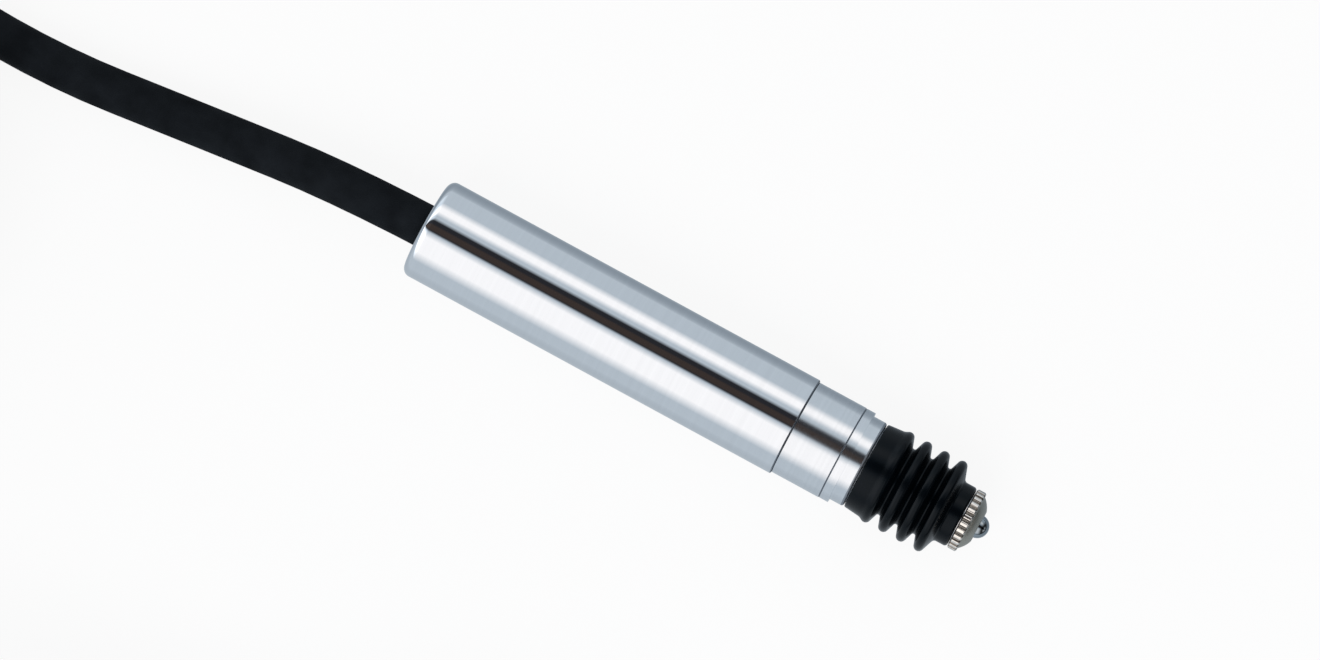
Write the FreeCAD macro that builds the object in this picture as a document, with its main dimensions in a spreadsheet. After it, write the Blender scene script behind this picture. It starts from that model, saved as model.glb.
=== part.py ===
"""Electronic gauge probe: an 8 mm inductive measuring head with a ball guide, a bellows and a cable.

The probe lies on its side, its axis along X and its measuring tip towards +X. Millimetres.
"""
import FreeCAD, Part
import math
import os
import Sketcher

doc = FreeCAD.newDocument("gauge_probe")

# Driving sizes, each an independent length, count or clearance.
SIZES = {
    # Outside of the probe, from the rear end to the tip
    "body_diameter": 8.0,
    "tube_length": 31.9,
    "tube_bore": 7.2,
    "rear_edge_radius": 0.65,
    "rear_wall": 1.2,
    "seam_chamfer": 0.06,
    "sleeve_diameter": 7.68,
    "sleeve_length": 4.1,
    "lip_diameter": 7.64,
    "lip_length": 0.75,
    "neck_diameter": 7.1,
    "neck_length": 1.17,
    "neck_chamfer": 0.15,
    "bellows_gap": 0.07,
    # Bellows
    "rear_cuff_length": 1.09,
    "rear_cuff_diameter": 7.1,
    "fold_count": 4,
    "fold_pitch": 1.52,
    "fold_diameter": 7.7,
    "valley_diameter": 5.0,
    "fold_round": 0.4,
    "bellows_wall": 0.34,
    "front_cuff_length": 1.08,
    "front_cuff_diameter": 5.0,
    "bellows_fit": 0.02,
    "bead_length": 0.5,
    "bead_height": 0.25,
    # Contact tip
    "tip_gap": 0.05,
    "knurl_diameter": 5.0,
    "knurl_length": 0.75,
    "knurl_teeth": 26,
    "knurl_depth": 0.16,
    "dome_root_diameter": 4.3,
    "dome_diameter": 2.05,
    "dome_length": 0.65,
    "contact_ball_diameter": 1.86,
    "ball_stand_out": 0.8,
    "stud_diameter": 2.5,
    "stud_length": 5.0,
    # Plunger and its guide
    "plunger_diameter": 3.6,
    "travel": 2.4,
    "stop_clearance": 0.1,
    "collar_diameter": 5.2,
    "collar_length": 0.8,
    "collar_gap": 0.3,
    "thread_clearance": 0.02,
    "ball_diameter": 1.0,
    "ball_clearance": 0.01,
    "balls_per_ring": 4,
    "cage_clearance": 0.15,
    "cage_length": 4.6,
    "cage_front_gap": 0.5,
    "ring_inset": 0.95,
    "pocket_clearance": 0.03,
    "bush_diameter": 6.4,
    "bush_length": 9.0,
    "bush_shoulder": 0.4,
    "shoulder_bore": 6.0,
    "slot_length": 3.5,
    "slot_clearance": 0.05,
    "pin_diameter": 0.8,
    "pin_recess": 0.1,
    "press_clearance": 0.01,
    "slip_clearance": 0.03,
    "cap_spigot_diameter": 6.6,
    "cap_spigot_length": 2.4,
    "cap_bore": 4.4,
    "bellows_spigot_diameter": 6.3,
    "bellows_spigot_length": 1.0,
    # Spring and stop cup
    "spring_wire": 0.35,
    "spring_diameter": 4.0,
    "spring_turns": 4,
    "spring_seating": 0.02,
    "cup_length": 3.4,
    "cup_floor": 0.8,
    "cup_bore": 4.9,
    "rod_passage": 1.6,
    # Measuring coils and core
    "flange_width": 0.6,
    "winding_diameter": 5.6,
    "former_bore": 2.4,
    "former_diameter": 3.0,
    "shield_wall": 0.5,
    "core_length": 5.0,
    "core_diameter": 1.9,
    "rod_diameter": 1.0,
    "rod_tail": 0.6,
    "rod_socket": 2.4,
    # Cable entry
    "cable_diameter": 3.4,
    "grommet_diameter": 4.5,
    "grommet_recess": 0.15,
    "grommet_flange_diameter": 6.2,
    "grommet_flange_length": 0.8,
    "ferrule_diameter": 4.5,
    "ferrule_length": 2.0,
    "jacket_stand_out": 0.8,
    "wire_diameter": 0.45,
    "wire_circle": 1.7,
    "wire_count": 4,
    "wire_length": 1.0,
    "board_thickness": 0.8,
    # Cable coil on the floor
    "coil_x": -78.6,
    "coil_y": -25.4,
    "coil_mean_diameter": 38.4,
    "coil_lanes": 4,
    "coil_rows": 4,
    "lane_pitch": 3.45,
    "coil_edge_chamfer": 0.6,
    # Plug
    "plug_x": -18.0,
    "plug_y": -44.0,
    "boot_length": 9.0,
    "boot_tail_diameter": 5.6,
    "boot_diameter": 8.2,
    "boot_collar_diameter": 6.9,
    "boot_collar_length": 6.0,
    "boot_rings": 4,
    "boot_ring_pitch": 1.7,
    "boot_ring_depth": 0.5,
    "cover_diameter": 15.0,
    "cover_length": 22.0,
    "cover_shoulder": 3.0,
    "cover_rear_diameter": 10.0,
    "grip_count": 4,
    "grip_pitch": 2.0,
    "grip_start": 6.0,
    "grip_depth": 0.35,
    "plug_shield_diameter": 13.2,
    "plug_shield_wall": 0.5,
    "plug_shield_length": 20.0,
    "plug_shield_stand_out": 9.0,
    "key_width": 1.6,
    "key_length": 3.0,
    "insert_length": 6.0,
    "mouth_depth": 7.0,
    "plug_pin_count": 5,
    "plug_pin_diameter": 1.45,
    "plug_pin_circle": 8.9,
    "plug_pin_step": 45.0,
    "plug_pin_recess": 0.7,
    "plug_pin_tail": 2.0,
    "jacket_in_plug": 1.0,
}

# Places along the probe's axis, measured from its rear end, and the places that follow from them.
PLACES = {
    "lip_start": "sizes.tube_length + sizes.sleeve_length",
    "neck_start": "lip_start + sizes.lip_length",
    "nose_end": "neck_start + sizes.neck_length",
    "bellows_start": "nose_end + sizes.bellows_gap",
    "folds_start": "bellows_start + sizes.rear_cuff_length",
    "folds_end": "folds_start + sizes.fold_count * sizes.fold_pitch",
    "bellows_end": "folds_end + sizes.front_cuff_length",
    "tip_start": "bellows_end + sizes.tip_gap",
    "dome_start": "tip_start + sizes.knurl_length",
    "dome_end": "dome_start + sizes.dome_length",
    "overall": "dome_end + sizes.ball_stand_out",
    "rear_x": "-overall / 2",
    "axis_height": "sizes.body_diameter / 2",
    "grommet_end": "sizes.rear_wall + sizes.grommet_flange_length",
    "ferrule_end": "grommet_end + sizes.ferrule_length",
    "jacket_end": "ferrule_end + sizes.jacket_stand_out",
    "board_start": "jacket_end + sizes.wire_length",
    "former_start": "board_start + sizes.board_thickness",
    "bush_end": "lip_start - sizes.cap_spigot_length",
    "bush_start": "bush_end - sizes.bush_length",
    "sleeve_rear": "bush_start - sizes.bush_shoulder",
    "pin_at": "bush_start + sizes.slot_length - sizes.pin_diameter / 2 - sizes.slot_clearance",
    "plunger_rear": "bush_start - sizes.collar_gap",
    "cup_rim": "plunger_rear - sizes.travel - sizes.stop_clearance",
    "former_end": "cup_rim - sizes.cup_length",
    "spring_start": "former_end + sizes.cup_floor",
    "winding_length": "(former_end - former_start - 3 * sizes.flange_width) / 2",
    "rear_winding_start": "former_start + sizes.flange_width",
    "rear_winding_end": "rear_winding_start + winding_length",
    "front_winding_start": "rear_winding_end + sizes.flange_width",
    "front_winding_end": "front_winding_start + winding_length",
    "cage_end": "bush_end - sizes.cage_front_gap",
    "cage_start": "cage_end - sizes.cage_length",
    "ball_radius_out": "sizes.plunger_diameter / 2 + sizes.ball_clearance + sizes.ball_diameter / 2",
    "bush_bore": "sizes.plunger_diameter + 2 * sizes.ball_diameter + 4 * sizes.ball_clearance",
    "core_start": "(former_start + former_end + sizes.travel - sizes.core_length) / 2",
    "core_end": "core_start + sizes.core_length",
    "rod_rear": "core_start - sizes.rod_tail",
    "rod_front": "plunger_rear + sizes.rod_socket",
    "groove_start": "(folds_end + bellows_end - sizes.bead_length) / 2",
    "groove_end": "groove_start + sizes.bead_length",
    "slip_bore": "sizes.tube_bore - 2 * sizes.slip_clearance",
    "shield_bore": "slip_bore - 2 * sizes.shield_wall",
    "cover_end": "sizes.boot_length + sizes.cover_length",
    "cavity_start": "sizes.boot_length + sizes.boot_collar_length",
    "mouth": "cover_end + sizes.plug_shield_stand_out",
    "plug_shield_start": "mouth - sizes.plug_shield_length",
    "insert_end": "mouth - sizes.mouth_depth",
    "insert_start": "insert_end - sizes.insert_length",
    "plug_bore": "sizes.plug_shield_diameter - 2 * sizes.plug_shield_wall",
}

# Route of the cable's centre line, chosen by hand: from the housing to the coil, and on to the plug.
LEAD_POINTS = [(-30.0, 0.0, 4.0), (-43.0, -1.25, 1.8), (-57.0, -2.9, 1.7)]
TAIL_POINTS = [(-58.0, -49.7, 9.0), (-40.0, -49.3, 7.7), (-28.0, -44.0, 7.5)]
LEAD_ANGLE = 75.0
TAIL_ANGLE = 270.0


def fill_sheet(name, values, prefix):
    """A spreadsheet with one aliased cell for each value."""
    sheet = doc.addObject("Spreadsheet::Sheet", name)
    for row, (alias, value) in enumerate(values.items(), start=1):
        sheet.set("A%d" % row, alias)
        sheet.set("B%d" % row, prefix + str(value))
        sheet.setAlias("B%d" % row, alias)
    doc.recompute()
    return sheet


sizes = fill_sheet("sizes", SIZES, "")
places = fill_sheet("places", PLACES, "=")
nodes = []


def keep(piece, label):
    """Give a finished piece its own label, which names its file."""
    piece.Label = label
    nodes.append(piece)
    return piece


def place_on_probe(piece):
    """Put a piece that is measured from the probe's rear end on the probe's axis."""
    piece.setExpression("Placement.Base.x", "places.rear_x")
    piece.setExpression("Placement.Base.z", "places.axis_height")


def place_on_plug(piece):
    """Put a piece that is measured from the plug's rear end on the plug's axis."""
    piece.setExpression("Placement.Base.x", "sizes.plug_x")
    piece.setExpression("Placement.Base.y", "sizes.plug_y")
    piece.setExpression("Placement.Base.z", "sizes.cover_diameter / 2")


def sketch_on(body, role, name):
    """A sketch on one of the body's own origin planes."""
    plane = [feature for feature in body.Origin.OriginFeatures if feature.Role == role][0]
    sketch = body.newObject("Sketcher::SketchObject", name)
    sketch.AttachmentSupport = [(plane, "")]
    sketch.MapMode = "FlatFace"
    return sketch


def fix_point(sketch, edge, point, across, up):
    """Hold a sketch point at two expressions, counted from the sketch's origin."""
    for kind, text in (("DistanceX", across), ("DistanceY", up)):
        number = sketch.addConstraint(Sketcher.Constraint(kind, -1, 1, edge, point, 1.0))
        sketch.setExpression("Constraints[%d]" % number, text)


def draw_outline(sketch, corners):
    """A closed outline of straight lines whose corners are pairs of expressions."""
    count = len(corners)
    start = [FreeCAD.Vector(5 + math.cos(2 * math.pi * k / count), 5 + math.sin(2 * math.pi * k / count), 0)
             for k in range(count)]
    for k in range(count):
        sketch.addGeometry(Part.LineSegment(start[k], start[(k + 1) % count]), False)
    for k in range(count):
        sketch.addConstraint(Sketcher.Constraint("Coincident", k, 2, (k + 1) % count, 1))
    for k, (across, up) in enumerate(corners):
        fix_point(sketch, k, 1, across, up)


def turn(name, corners, put=place_on_probe):
    """A body turned about its X axis from an outline of (along, radius) corners."""
    body = doc.addObject("PartDesign::Body", name + "_body")
    sketch = sketch_on(body, "XZ_Plane", name + "_profile")
    draw_outline(sketch, corners)
    turned = body.newObject("PartDesign::Revolution", name + "_turned")
    turned.Profile = sketch
    turned.ReferenceAxis = (sketch, ["H_Axis"])
    turned.Angle = 360.0
    put(body)
    doc.recompute()
    return body


def ring(name, start, end, bore, outside, put=place_on_probe):
    """A plain ring or tube between two places, from a bore to an outside diameter."""
    inner = "(%s) / 2" % bore
    outer = "(%s) / 2" % outside
    return turn(name, [(start, inner), (start, outer), (end, outer), (end, inner)], put)


def circle_edges(shape, along, radius):
    """Names of the circular edges about the X axis at one place and radius."""
    names = []
    for number, edge in enumerate(shape.Edges, start=1):
        curve = edge.Curve
        if isinstance(curve, Part.Circle) and abs(curve.Center.x - along) < 1e-4 \
                and abs(curve.Radius - radius) < 1e-4:
            names.append("Edge%d" % number)
    return names


def round_rim(body, along, radius, size):
    """Round one turned edge to the size in an expression."""
    base = body.Tip
    edges = circle_edges(base.Shape, along, radius)
    fillet = body.newObject("PartDesign::Fillet", body.Name + "_round")
    fillet.Base = (base, edges)
    fillet.setExpression("Radius", size)
    doc.recompute()


def cut_pocket(body, sketch, length, reverse):
    """Cut a sketch into a body to one side of its plane, and see that it takes material away."""
    before = body.Shape.Volume
    pocket = body.newObject("PartDesign::Pocket", sketch.Name + "_cut")
    pocket.Profile = sketch
    pocket.Type = "Length"
    pocket.setExpression("Length", length)
    pocket.Reversed = reverse
    doc.recompute()
    if body.Shape.Volume > before - 1e-4:
        raise RuntimeError(sketch.Name + " cuts nothing")
    return pocket


def repeat_round(body, feature, count, angle):
    """Repeat a cut about the body's X axis."""
    before = body.Shape.Volume
    pattern = body.newObject("PartDesign::PolarPattern", feature.Name + "_pattern")
    axis = [item for item in body.Origin.OriginFeatures if item.Role == "X_Axis"][0]
    pattern.Originals = [feature]
    pattern.Axis = (axis, [""])
    pattern.setExpression("Angle", angle)
    pattern.setExpression("Occurrences", count)
    body.Tip = pattern
    doc.recompute()
    if body.Shape.Volume > before - 1e-4:
        raise RuntimeError(feature.Name + " isn't repeated")


def draw_circle(sketch, across, up, radius):
    """A circle whose centre and radius are expressions."""
    edge = sketch.addGeometry(Part.Circle(FreeCAD.Vector(5, 5, 0), FreeCAD.Vector(0, 0, 1), 1.0), False)
    fix_point(sketch, edge, 3, across, up)
    number = sketch.addConstraint(Sketcher.Constraint("Radius", edge, 1.0))
    sketch.setExpression("Constraints[%d]" % number, radius)


def group(label, pieces):
    """Several separate solids of one kind as one node."""
    compound = doc.addObject("Part::Compound", label)
    compound.Links = pieces
    return keep(compound, label)


def housing_tube():
    """Stem: one turned tube with a closed rear end and a hole for the cable."""
    outer = "sizes.body_diameter / 2"
    inner = "sizes.tube_bore / 2"
    hole = "sizes.grommet_diameter / 2"
    body = turn("housing_tube", [
        ("0", hole), ("0", outer),
        ("sizes.tube_length - sizes.seam_chamfer", outer),
        ("sizes.tube_length", outer + " - sizes.seam_chamfer"),
        ("sizes.tube_length", inner), ("sizes.rear_wall", inner), ("sizes.rear_wall", hole)])
    round_rim(body, 0.0, sizes.body_diameter / 2, "sizes.rear_edge_radius")
    keep(body, "housing_tube")


def front_sleeve():
    """Turned sleeve whose long spigot holds the guide bush inside the tube."""
    spigot = "places.slip_bore / 2"
    outer = "sizes.sleeve_diameter / 2"
    seat = "sizes.bush_diameter / 2 + sizes.press_clearance"
    thread = "sizes.cap_spigot_diameter / 2 + sizes.thread_clearance"
    shoulder = "sizes.shoulder_bore / 2"
    body = turn("front_sleeve", [
        ("places.sleeve_rear", shoulder), ("places.sleeve_rear", spigot),
        ("sizes.tube_length", spigot),
        ("sizes.tube_length", outer + " - sizes.seam_chamfer"),
        ("sizes.tube_length + sizes.seam_chamfer", outer),
        ("places.lip_start - sizes.seam_chamfer", outer),
        ("places.lip_start", outer + " - sizes.seam_chamfer"),
        ("places.lip_start", thread), ("places.bush_end", thread), ("places.bush_end", seat),
        ("places.bush_start", seat), ("places.bush_start", shoulder)])
    keep(body, "front_sleeve")


def nose_cap():
    """Nose ring: threaded spigot, lip, neck and the collar that the bellows grips."""
    bore = "sizes.cap_bore / 2"
    thread = "sizes.cap_spigot_diameter / 2"
    lip = "sizes.lip_diameter / 2"
    neck = "sizes.neck_diameter / 2"
    collar = "sizes.bellows_spigot_diameter / 2"
    body = turn("nose_cap", [
        ("places.bush_end", bore), ("places.bush_end", thread), ("places.lip_start", thread),
        ("places.lip_start", lip + " - sizes.seam_chamfer"),
        ("places.lip_start + sizes.seam_chamfer", lip),
        ("places.neck_start - sizes.seam_chamfer", lip),
        ("places.neck_start", lip + " - sizes.seam_chamfer"), ("places.neck_start", neck),
        ("places.nose_end - sizes.neck_chamfer", neck),
        ("places.nose_end", neck + " - sizes.neck_chamfer"), ("places.nose_end", collar),
        ("places.nose_end + sizes.bellows_spigot_length", collar),
        ("places.nose_end + sizes.bellows_spigot_length", bore)])
    keep(body, "nose_cap")


def flank_apex(depth, half_pitch, crest_round):
    """Height above the valley at which a fold's two flanks would meet, above its rounded crest."""
    share = 1 - (crest_round / half_pitch) ** 2
    rest = depth - crest_round
    return (rest + math.sqrt(rest ** 2 - share * (rest ** 2 - crest_round ** 2))) / share


def fold_edges(foot, apex, end, crest_round):
    """Rear flank, rounded crest and front flank of one fold."""
    back = (foot - apex).normalize()
    ahead = (end - apex).normalize()
    half = back.getAngle(ahead) / 2
    reach = crest_round / math.tan(half)
    first = apex + back * reach
    second = apex + ahead * reach
    middle = apex + (back + ahead).normalize() * (crest_round / math.sin(half) - crest_round)
    return [Part.LineSegment(foot, first).toShape(), Part.Arc(first, middle, second).toShape(),
            Part.LineSegment(second, end).toShape()]


def bellows():
    """Moulded bellows: a cuff at each end, rounded crests, sharp valleys and a thin wall."""
    crest = sizes.fold_diameter / 2
    valley = sizes.valley_diameter / 2
    rear = sizes.rear_cuff_diameter / 2
    front = sizes.front_cuff_diameter / 2
    sleeve = sizes.bellows_spigot_diameter / 2 + sizes.bellows_fit
    grip = sizes.plunger_diameter / 2 + sizes.bellows_fit
    bead = grip - sizes.bead_height
    half = sizes.fold_pitch / 2
    height = flank_apex(crest - valley, half, sizes.fold_round)
    foot = FreeCAD.Vector(places.folds_start + (rear - valley) * half / height, 0, rear)
    edges = [Part.LineSegment(FreeCAD.Vector(places.bellows_start, 0, rear), foot).toShape()]
    inside = [(places.bellows_start, rear), (places.bellows_start, sleeve), (places.folds_start, sleeve)]
    for fold in range(int(sizes.fold_count)):
        middle = places.folds_start + (2 * fold + 1) * half
        end = FreeCAD.Vector(middle + half, 0, valley)
        edges += fold_edges(foot, FreeCAD.Vector(middle, 0, valley + height), end, sizes.fold_round)
        foot = end
        inside.append((middle, crest - sizes.bellows_wall))
        if fold < int(sizes.fold_count) - 1:
            inside.append((middle + half, valley - sizes.bellows_wall))
    inside += [(places.folds_end, grip),
               (places.groove_start + sizes.bellows_fit, grip),
               (places.groove_start + sizes.bellows_fit, bead),
               (places.groove_end - sizes.bellows_fit, bead),
               (places.groove_end - sizes.bellows_fit, grip),
               (places.bellows_end, grip), (places.bellows_end, front), (foot.x, front)]
    if front != valley:
        inside.append((foot.x, valley))
    corners = [FreeCAD.Vector(along, 0, radius) for along, radius in inside]
    for first, second in zip(corners, corners[1:]):
        edges.append(Part.LineSegment(first, second).toShape())
    face = Part.Face(Part.Wire(Part.__sortEdges__(edges)))
    piece = doc.addObject("Part::Feature", "bellows")
    piece.Shape = face.revolve(FreeCAD.Vector(0, 0, 0), FreeCAD.Vector(1, 0, 0), 360)
    place_on_probe(piece)
    keep(piece, "bellows")


def contact_tip():
    """Screw-in contact tip: stud, knurled disc and domed end with a round seat for the ball."""
    stud = "sizes.stud_diameter / 2"
    disc = "sizes.knurl_diameter / 2"
    root = "sizes.dome_root_diameter / 2"
    end = "sizes.dome_diameter / 2"
    body = turn("contact_tip", [
        ("places.tip_start - sizes.stud_length", "0"),
        ("places.tip_start - sizes.stud_length", stud), ("places.tip_start", stud),
        ("places.tip_start", disc), ("places.dome_start", disc), ("places.dome_start", root),
        ("places.dome_end", end), ("places.dome_end", "0")])
    seat = body.newObject("PartDesign::SubtractiveSphere", "contact_tip_seat")
    seat.setExpression("Radius", "sizes.contact_ball_diameter / 2")
    seat.setExpression("Placement.Base.x", "places.overall - sizes.contact_ball_diameter / 2")
    doc.recompute()
    sketch = sketch_on(body, "YZ_Plane", "knurl_tooth")
    half = "sizes.knurl_diameter * pi / sizes.knurl_teeth / 2"
    draw_outline(sketch, [
        ("0", "sizes.knurl_diameter / 2 - sizes.knurl_depth"),
        (half, "sizes.knurl_diameter / 2 + sizes.knurl_depth / 2"),
        ("-" + half, "sizes.knurl_diameter / 2 + sizes.knurl_depth / 2")])
    sketch.setExpression("AttachmentOffset.Base.z", "places.tip_start - sizes.tip_gap / 2")
    tooth = cut_pocket(body, sketch, "sizes.knurl_length + sizes.tip_gap", True)
    repeat_round(body, tooth, "sizes.knurl_teeth", "360")
    keep(body, "contact_tip")


def contact_ball():
    """Hard ball that touches the workpiece."""
    ball = doc.addObject("Part::Sphere", "contact_ball")
    ball.setExpression("Radius", "sizes.contact_ball_diameter / 2")
    ball.setExpression("Placement.Base.x",
                       "places.rear_x + places.overall - sizes.contact_ball_diameter / 2")
    ball.setExpression("Placement.Base.z", "places.axis_height")
    keep(ball, "contact_ball")


def plunger():
    """Ground shaft with a rear collar, a groove for the bellows and a threaded front hole."""
    shaft = "sizes.plunger_diameter / 2"
    groove = shaft + " - sizes.bead_height"
    collar = "sizes.collar_diameter / 2"
    socket = "sizes.rod_diameter / 2 + sizes.press_clearance"
    thread = "sizes.stud_diameter / 2 + sizes.thread_clearance"
    hole = "places.tip_start - sizes.stud_length - sizes.thread_clearance"
    body = turn("plunger", [
        ("places.plunger_rear", socket), ("places.plunger_rear", collar),
        ("places.plunger_rear + sizes.collar_length", collar),
        ("places.plunger_rear + sizes.collar_length", shaft),
        ("places.groove_start", shaft), ("places.groove_start", groove),
        ("places.groove_end", groove), ("places.groove_end", shaft),
        ("places.tip_start", shaft), ("places.tip_start", thread),
        (hole, thread), (hole, "0"),
        ("places.rod_front + sizes.press_clearance", "0"),
        ("places.rod_front + sizes.press_clearance", socket)])
    sketch = sketch_on(body, "XY_Plane", "pin_hole")
    draw_circle(sketch, "places.pin_at", "0", "sizes.pin_diameter / 2 + sizes.press_clearance")
    cut_pocket(body, sketch, "sizes.plunger_diameter", True)
    keep(body, "plunger")


def guide_bush():
    """Hardened bush that the balls roll in, with a slot for the anti-rotation pin."""
    body = ring("guide_bush", "places.bush_start", "places.bush_end",
                "places.bush_bore", "sizes.bush_diameter")
    sketch = sketch_on(body, "XY_Plane", "pin_slot")
    half = "(sizes.pin_diameter / 2 + sizes.slot_clearance)"
    start = "places.bush_start - sizes.slot_clearance"
    end = "places.bush_start + sizes.slot_length"
    draw_outline(sketch, [(start, "-" + half), (end, "-" + half), (end, half), (start, half)])
    cut_pocket(body, sketch, "sizes.bush_diameter", True)
    keep(body, "guide_bush")


def ball_cage():
    """Thin cage with two rings of round pockets."""
    body = ring("ball_cage", "places.cage_start", "places.cage_end",
                "sizes.plunger_diameter + 2 * sizes.cage_clearance",
                "places.bush_bore - 2 * sizes.cage_clearance")
    for name, along in (("rear", "places.cage_start + sizes.ring_inset"),
                        ("front", "places.cage_end - sizes.ring_inset")):
        sketch = sketch_on(body, "XY_Plane", name + "_pocket")
        draw_circle(sketch, along, "0", "sizes.ball_diameter / 2 + sizes.pocket_clearance")
        pocket = cut_pocket(body, sketch, "sizes.bush_diameter", True)
        repeat_round(body, pocket, "sizes.balls_per_ring", "360")
    keep(body, "ball_cage")


def bearing_balls():
    """Balls of the two rings, between the plunger and the bush."""
    balls = []
    for along in ("places.cage_start + sizes.ring_inset", "places.cage_end - sizes.ring_inset"):
        for number in range(int(sizes.balls_per_ring)):
            angle = "(%d * 360 / sizes.balls_per_ring + 90) * 1 deg" % number
            ball = doc.addObject("Part::Sphere", "ball")
            ball.setExpression("Radius", "sizes.ball_diameter / 2")
            ball.setExpression("Placement.Base.x", "places.rear_x + " + along)
            ball.setExpression("Placement.Base.y", "places.ball_radius_out * cos(%s)" % angle)
            ball.setExpression("Placement.Base.z",
                               "places.axis_height + places.ball_radius_out * sin(%s)" % angle)
            balls.append(ball)
    group("bearing_balls", balls)


def anti_rotation_pin():
    """Cross pin through the plunger, whose head runs in the slot of the bush."""
    pin = doc.addObject("Part::Cylinder", "anti_rotation_pin")
    pin.setExpression("Radius", "sizes.pin_diameter / 2")
    pin.setExpression("Height", "sizes.bush_diameter / 2 - sizes.pin_recess")
    pin.setExpression("Placement.Base.x", "places.rear_x + places.pin_at")
    pin.setExpression("Placement.Base.z", "places.axis_height")
    keep(pin, "anti_rotation_pin")


def return_spring():
    """Compression spring from the stop cup to the plunger's collar; six flats stand for the round wire."""
    helix = doc.addObject("Part::Helix", "spring_line")
    helix.setExpression("Radius", "sizes.spring_diameter / 2")
    helix.setExpression("Height", "places.plunger_rear - places.spring_start - sizes.spring_wire"
                                  " - 2 * sizes.spring_seating")
    helix.setExpression("Pitch", "(places.plunger_rear - places.spring_start - sizes.spring_wire"
                                 " - 2 * sizes.spring_seating) / sizes.spring_turns")
    section = doc.addObject("Part::RegularPolygon", "spring_section")
    section.Polygon = 6
    section.setExpression("Circumradius", "sizes.spring_wire / 2")
    section.setExpression("Placement.Base.x", "sizes.spring_diameter / 2")
    section.Placement.Rotation = FreeCAD.Rotation(FreeCAD.Vector(1, 0, 0), 90)
    doc.recompute()
    spring = doc.addObject("Part::Sweep", "return_spring")
    spring.Sections = [section]
    spring.Spine = (helix, ["Edge%d" % number for number in range(1, len(helix.Shape.Edges) + 1)])
    spring.Solid = True
    spring.Frenet = True
    spring.Placement.Rotation = FreeCAD.Rotation(FreeCAD.Vector(0, 1, 0), 90)
    spring.setExpression("Placement.Base.x", "places.rear_x + places.spring_start"
                                             " + sizes.spring_wire / 2 + sizes.spring_seating")
    spring.setExpression("Placement.Base.z", "places.axis_height")
    keep(spring, "return_spring")


def stop_cup():
    """Cup that seats the spring and whose rim stops the plunger's collar."""
    rim = "places.slip_bore / 2"
    bore = "sizes.cup_bore / 2"
    passage = "sizes.rod_passage / 2"
    body = turn("stop_cup", [
        ("places.former_end", passage), ("places.former_end", rim), ("places.cup_rim", rim),
        ("places.cup_rim", bore), ("places.spring_start", bore), ("places.spring_start", passage)])
    keep(body, "stop_cup")


def measuring_parts():
    """Core on its rod, coil former, the two windings and the magnetic shield round them."""
    rod = turn("core_rod", [("places.rod_rear", "0"), ("places.rod_rear", "sizes.rod_diameter / 2"),
                            ("places.rod_front", "sizes.rod_diameter / 2"), ("places.rod_front", "0")])
    keep(rod, "core_rod")
    core = ring("ferrite_core", "places.core_start", "places.core_end",
                "sizes.rod_diameter + 2 * sizes.press_clearance", "sizes.core_diameter")
    keep(core, "ferrite_core")
    flange = "places.shield_bore / 2 - sizes.slip_clearance"
    barrel = "sizes.former_diameter / 2"
    former = turn("coil_former", [
        ("places.former_start", "sizes.former_bore / 2"), ("places.former_start", flange),
        ("places.rear_winding_start", flange), ("places.rear_winding_start", barrel),
        ("places.rear_winding_end", barrel), ("places.rear_winding_end", flange),
        ("places.front_winding_start", flange), ("places.front_winding_start", barrel),
        ("places.front_winding_end", barrel), ("places.front_winding_end", flange),
        ("places.former_end", flange), ("places.former_end", "sizes.former_bore / 2")])
    keep(former, "coil_former")
    for name in ("rear_winding", "front_winding"):
        coil = ring(name, "places.%s_start" % name, "places.%s_end" % name,
                    "sizes.former_diameter + 2 * sizes.press_clearance", "sizes.winding_diameter")
        keep(coil, name)
    shield = ring("magnetic_shield", "places.former_start", "places.former_end",
                  "places.shield_bore", "places.slip_bore")
    keep(shield, "magnetic_shield")


def cable_entry():
    """Board, wires, crimped ferrule and the rubber grommet that closes the rear hole."""
    board = turn("solder_board", [
        ("places.board_start", "0"), ("places.board_start", "places.slip_bore / 2"),
        ("places.former_start", "places.slip_bore / 2"), ("places.former_start", "0")])
    keep(board, "solder_board")
    wires = []
    for number in range(int(sizes.wire_count)):
        angle = "(%d + 0.5) * 360 / sizes.wire_count * 1 deg" % number
        wire = doc.addObject("Part::Cylinder", "wire")
        wire.setExpression("Radius", "sizes.wire_diameter / 2")
        wire.setExpression("Height", "sizes.wire_length")
        wire.Placement.Rotation = FreeCAD.Rotation(FreeCAD.Vector(0, 1, 0), 90)
        wire.setExpression("Placement.Base.x", "places.rear_x + places.jacket_end")
        wire.setExpression("Placement.Base.y", "sizes.wire_circle / 2 * cos(%s)" % angle)
        wire.setExpression("Placement.Base.z",
                           "places.axis_height + sizes.wire_circle / 2 * sin(%s)" % angle)
        wires.append(wire)
    group("lead_wires", wires)
    bore = "sizes.cable_diameter / 2"
    hole = "sizes.grommet_diameter / 2"
    flange = "sizes.grommet_flange_diameter / 2"
    grommet = turn("cable_grommet", [
        ("sizes.grommet_recess", bore), ("sizes.grommet_recess", hole), ("sizes.rear_wall", hole),
        ("sizes.rear_wall", flange), ("places.grommet_end", flange), ("places.grommet_end", bore)])
    keep(grommet, "cable_grommet")
    ferrule = ring("clamp_ferrule", "places.grommet_end", "places.ferrule_end",
                   "sizes.cable_diameter", "sizes.ferrule_diameter")
    keep(ferrule, "clamp_ferrule")


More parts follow.
